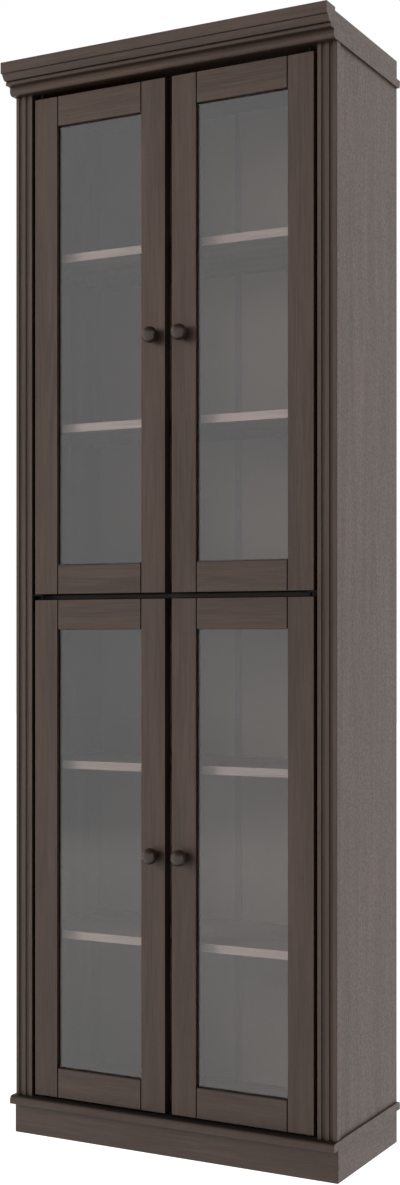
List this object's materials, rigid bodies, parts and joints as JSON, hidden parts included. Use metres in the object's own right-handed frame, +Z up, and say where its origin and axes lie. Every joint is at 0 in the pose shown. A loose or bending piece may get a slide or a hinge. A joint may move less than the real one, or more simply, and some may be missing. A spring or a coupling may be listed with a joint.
{
  "type": "bookcase with glass doors",
  "caption": "Tall narrow bookcase with framed glass doors one pair above another, fluted pilasters, a moulded cornice and a plinth, and shelves inside.",
  "frame": {"origin": "on the floor, at the centre of the bounding box in plan", "axes": "+Z up; -Y towards the doors; +X to the right as seen from the front"},
  "size_m": [0.664, 0.34, 2.01],
  "materials": {
    "foil_wood": "dark coffee-brown wood-grain foil, satin; turned knobs lacquered to match",
    "foil_shelf": "wood-grain foil a shade lighter than the case, satin",
    "backing": "thin hardboard, printed dark brown inside, raw fibre outside",
    "joint_strip": "extruded, matt dark brown",
    "glass": "clear, polished edges",
    "pins_steel": "bronze-brown lacquer",
    "pivot_steel": "black oxide",
    "strike_steel": "nickel plated",
    "catch_plastic": "moulded dark brown"
  },
  "bodies": {
    "case": {"plinth_front": "foil_wood", "plinth_side_left": "foil_wood", "plinth_side_right": "foil_wood", "plinth_rear": "foil_wood", "base_board": "foil_wood", "side_panel_left": "foil_wood", "side_panel_right": "foil_wood", "middle_shelf": "foil_wood", "top_board": "foil_wood", "pilaster_left": "foil_wood", "pilaster_right": "foil_wood", "back_panel_left": "backing", "back_panel_right": "backing", "back_joint_strip": "joint_strip", "crown_side_left": "foil_wood", "crown_side_right": "foil_wood", "crown_rear": "foil_wood", "cornice": "foil_wood", "shelf_pins": "pins_steel", "pivot_pins": "pivot_steel", "pivot_brackets": "pivot_steel", "magnetic_catches": "catch_plastic", "lower_shelf_1": "foil_shelf", "lower_shelf_2": "foil_shelf", "upper_shelf_1": "foil_shelf", "upper_shelf_2": "foil_shelf"},
    "lower_left_door": {"lower_left_hinge_stile": "foil_wood", "lower_left_knob_stile": "foil_wood", "lower_left_bottom_rail": "foil_wood", "lower_left_top_rail": "foil_wood", "lower_left_glass": "glass", "lower_left_glass_beads": "foil_wood", "lower_left_strike_plate": "strike_steel"},
    "lower_right_door": {"lower_right_hinge_stile": "foil_wood", "lower_right_knob_stile": "foil_wood", "lower_right_bottom_rail": "foil_wood", "lower_right_top_rail": "foil_wood", "lower_right_glass": "glass", "lower_right_glass_beads": "foil_wood", "lower_right_strike_plate": "strike_steel"},
    "upper_left_door": {"upper_left_hinge_stile": "foil_wood", "upper_left_knob_stile": "foil_wood", "upper_left_bottom_rail": "foil_wood", "upper_left_top_rail": "foil_wood", "upper_left_glass": "glass", "upper_left_glass_beads": "foil_wood", "upper_left_strike_plate": "strike_steel"},
    "upper_right_door": {"upper_right_hinge_stile": "foil_wood", "upper_right_knob_stile": "foil_wood", "upper_right_bottom_rail": "foil_wood", "upper_right_top_rail": "foil_wood", "upper_right_glass": "glass", "upper_right_glass_beads": "foil_wood", "upper_right_strike_plate": "strike_steel"}
  },
  "joints": [
    {"name": "lower_left_hinge", "type": "hinge", "parent": "case", "child": "lower_left_door", "pos_m": [-0.276, -0.112, 0.541], "axis": [0, 0, -1], "range_deg": [0, 105]},
    {"name": "lower_right_hinge", "type": "hinge", "parent": "case", "child": "lower_right_door", "pos_m": [0.276, -0.112, 0.541], "axis": [0, 0, 1], "range_deg": [0, 105]},
    {"name": "upper_left_hinge", "type": "hinge", "parent": "case", "child": "upper_left_door", "pos_m": [-0.276, -0.112, 1.4815], "axis": [0, 0, -1], "range_deg": [0, 105]},
    {"name": "upper_right_hinge", "type": "hinge", "parent": "case", "child": "upper_right_door", "pos_m": [0.276, -0.112, 1.4815], "axis": [0, 0, 1], "range_deg": [0, 105]}
  ]
}
